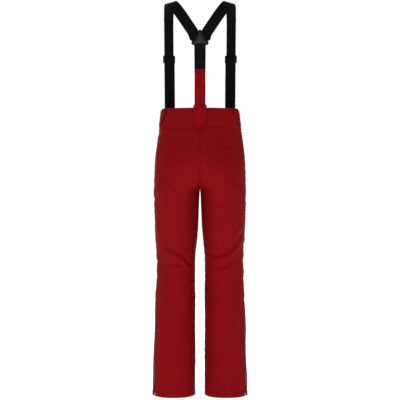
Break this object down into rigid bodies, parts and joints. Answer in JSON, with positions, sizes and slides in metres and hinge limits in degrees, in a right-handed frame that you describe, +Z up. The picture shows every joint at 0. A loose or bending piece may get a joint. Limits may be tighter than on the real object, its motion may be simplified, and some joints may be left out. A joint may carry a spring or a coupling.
{
  "type": "ski trousers",
  "caption": "Straight-leg ski trousers with a shaped waistband, zips at fly, pockets and ankles, snow gaiters, and removable Y-back elastic braces.",
  "frame": {"origin": "middle of the waist opening, level with the top of the back waistband", "axes": "+Z up, +X the wearer's left, +Y towards the wearer's back"},
  "size_m": [0.3508, 0.2518, 1.4528],
  "materials": {
    "red_shell_cloth": "matt woven polyester with a soft sheen",
    "red_facing_cloth": "matt woven polyester",
    "black_elastic": "ribbed elastic webbing",
    "black_plastic": "satin moulded acetal",
    "black_zip_coil": "nylon coil on woven tape",
    "dark_metal": "dark nickel press studs",
    "black_lining": "thin lining cloth"
  },
  "bodies": {
    "trousers": {"left_back_thigh": "red_shell_cloth", "right_back_thigh": "red_shell_cloth", "left_front_thigh": "red_shell_cloth", "right_front_thigh": "red_shell_cloth", "left_back_knee": "red_shell_cloth", "right_back_knee": "red_shell_cloth", "left_front_knee": "red_shell_cloth", "right_front_knee": "red_shell_cloth", "back_waistband": "red_shell_cloth", "left_front_waistband": "red_shell_cloth", "right_front_waistband": "red_shell_cloth", "left_waist_tab": "red_shell_cloth", "right_waist_tab": "red_shell_cloth", "back_sleeve": "red_shell_cloth", "left_front_sleeve": "red_shell_cloth", "right_front_sleeve": "red_shell_cloth", "fly_underlap": "red_facing_cloth", "fly_zip_chain": "black_zip_coil", "left_pocket_zip_chain": "black_zip_coil", "right_pocket_zip_chain": "black_zip_coil", "left_pocket_bag": "black_lining", "right_pocket_bag": "black_lining", "snap_stud_upper": "dark_metal", "snap_stud_lower": "dark_metal"},
    "left_lower_leg": {"left_back_shin": "red_shell_cloth", "left_front_shin": "red_shell_cloth", "left_gaiter": "black_lining", "left_ankle_zip_chain": "black_zip_coil"},
    "right_lower_leg": {"right_back_shin": "red_shell_cloth", "right_front_shin": "red_shell_cloth", "right_gaiter": "black_lining", "right_ankle_zip_chain": "black_zip_coil"},
    "braces": {"back_strap_cloth": "red_shell_cloth", "back_strap_elastic": "black_elastic", "yoke": "black_plastic", "left_shoulder_strap": "black_elastic", "right_shoulder_strap": "black_elastic", "left_strap_return": "black_elastic", "right_strap_return": "black_elastic", "left_ring": "black_plastic", "right_ring": "black_plastic", "left_front_tab": "red_shell_cloth", "right_front_tab": "red_shell_cloth"},
    "left_slide": {"left_adjuster": "black_plastic"},
    "right_slide": {"right_adjuster": "black_plastic"},
    "closure": {"closure_flap": "red_shell_cloth", "snap_cap_upper": "dark_metal", "snap_cap_lower": "dark_metal"},
    "fly_slider": {"fly_zip_slider": "black_plastic"},
    "fly_pull": {"fly_zip_pull": "black_plastic"},
    "left_pocket_slider": {"left_pocket_zip_slider": "black_plastic"},
    "left_pocket_pull": {"left_pocket_zip_pull": "black_plastic"},
    "left_ankle_slider": {"left_ankle_zip_slider": "black_plastic"},
    "left_ankle_pull": {"left_ankle_zip_pull": "black_plastic"},
    "right_pocket_slider": {"right_pocket_zip_slider": "black_plastic"},
    "right_pocket_pull": {"right_pocket_zip_pull": "black_plastic"},
    "right_ankle_slider": {"right_ankle_zip_slider": "black_plastic"},
    "right_ankle_pull": {"right_ankle_zip_pull": "black_plastic"}
  },
  "joints": [
    {"name": "left_knee", "type": "hinge", "parent": "trousers", "child": "left_lower_leg", "pos_m": [0.0885, 0, -0.559], "axis": [1, 0, 0], "range_deg": [0, 90], "deforming": ["left_back_knee", "left_front_knee"]},
    {"name": "right_knee", "type": "hinge", "parent": "trousers", "child": "right_lower_leg", "pos_m": [-0.0885, 0, -0.559], "axis": [1, 0, 0], "range_deg": [0, 90], "deforming": ["right_back_knee", "right_front_knee"]},
    {"name": "braces_lift", "type": "slide", "parent": "trousers", "child": "braces", "axis": [0, 0, 1], "range_m": [0, 0.12]},
    {"name": "left_strap_length", "type": "slide", "parent": "braces", "child": "left_slide", "axis": [0.0074, -0.0119, 0.9999], "range_m": [-0.12, 0.12], "deforming": ["left_strap_return"]},
    {"name": "right_strap_length", "type": "slide", "parent": "braces", "child": "right_slide", "axis": [-0.0074, -0.0119, 0.9999], "range_m": [-0.12, 0.12], "deforming": ["right_strap_return"]},
    {"name": "closure_swing", "type": "hinge", "parent": "trousers", "child": "closure", "pos_m": [-0.032, -0.10458, -0.045], "axis": [0, 0, -1], "range_deg": [0, 90]},
    {"name": "fly_zip", "type": "slide", "parent": "trousers", "child": "fly_slider", "axis": [0, -0.0233, -0.9997], "range_m": [0, 0.1237]},
    {"name": "fly_pull_swing", "type": "hinge", "parent": "fly_slider", "child": "fly_pull", "pos_m": [0, -0.11214, -0.07825], "axis": [-1, 0, 0], "range_deg": [0, 150]},
    {"name": "left_pocket_zip", "type": "slide", "parent": "trousers", "child": "left_pocket_slider", "axis": [0.3223, 0.1068, -0.9406], "range_m": [0, 0.1262]},
    {"name": "left_pocket_pull_swing", "type": "hinge", "parent": "left_pocket_slider", "child": "left_pocket_pull", "pos_m": [0.10021, -0.08804, -0.09308], "axis": [-0.7534, -0.5727, -0.3231], "range_deg": [0, 150]},
    {"name": "left_ankle_zip", "type": "slide", "parent": "left_lower_leg", "child": "left_ankle_slider", "axis": [-0.0247, -0.0031, 0.9997], "range_m": [0, 0.2562]},
    {"name": "left_ankle_pull_swing", "type": "hinge", "parent": "left_ankle_slider", "child": "left_ankle_pull", "pos_m": [0.17144, 0.04215, -1.02397], "axis": [0.411, -0.9116, 0.0073], "range_deg": [0, 150]},
    {"name": "right_pocket_zip", "type": "slide", "parent": "trousers", "child": "right_pocket_slider", "axis": [-0.3223, 0.1068, -0.9406], "range_m": [0, 0.1262]},
    {"name": "right_pocket_pull_swing", "type": "hinge", "parent": "right_pocket_slider", "child": "right_pocket_pull", "pos_m": [-0.10021, -0.08804, -0.09308], "axis": [-0.7534, 0.5727, 0.3231], "range_deg": [0, 150]},
    {"name": "right_ankle_zip", "type": "slide", "parent": "right_lower_leg", "child": "right_ankle_slider", "axis": [0.0247, -0.0031, 0.9997], "range_m": [0, 0.2562]},
    {"name": "right_ankle_pull_swing", "type": "hinge", "parent": "right_ankle_slider", "child": "right_ankle_pull", "pos_m": [-0.17144, 0.04215, -1.02397], "axis": [0.411, 0.9116, -0.0073], "range_deg": [0, 150]}
  ]
}
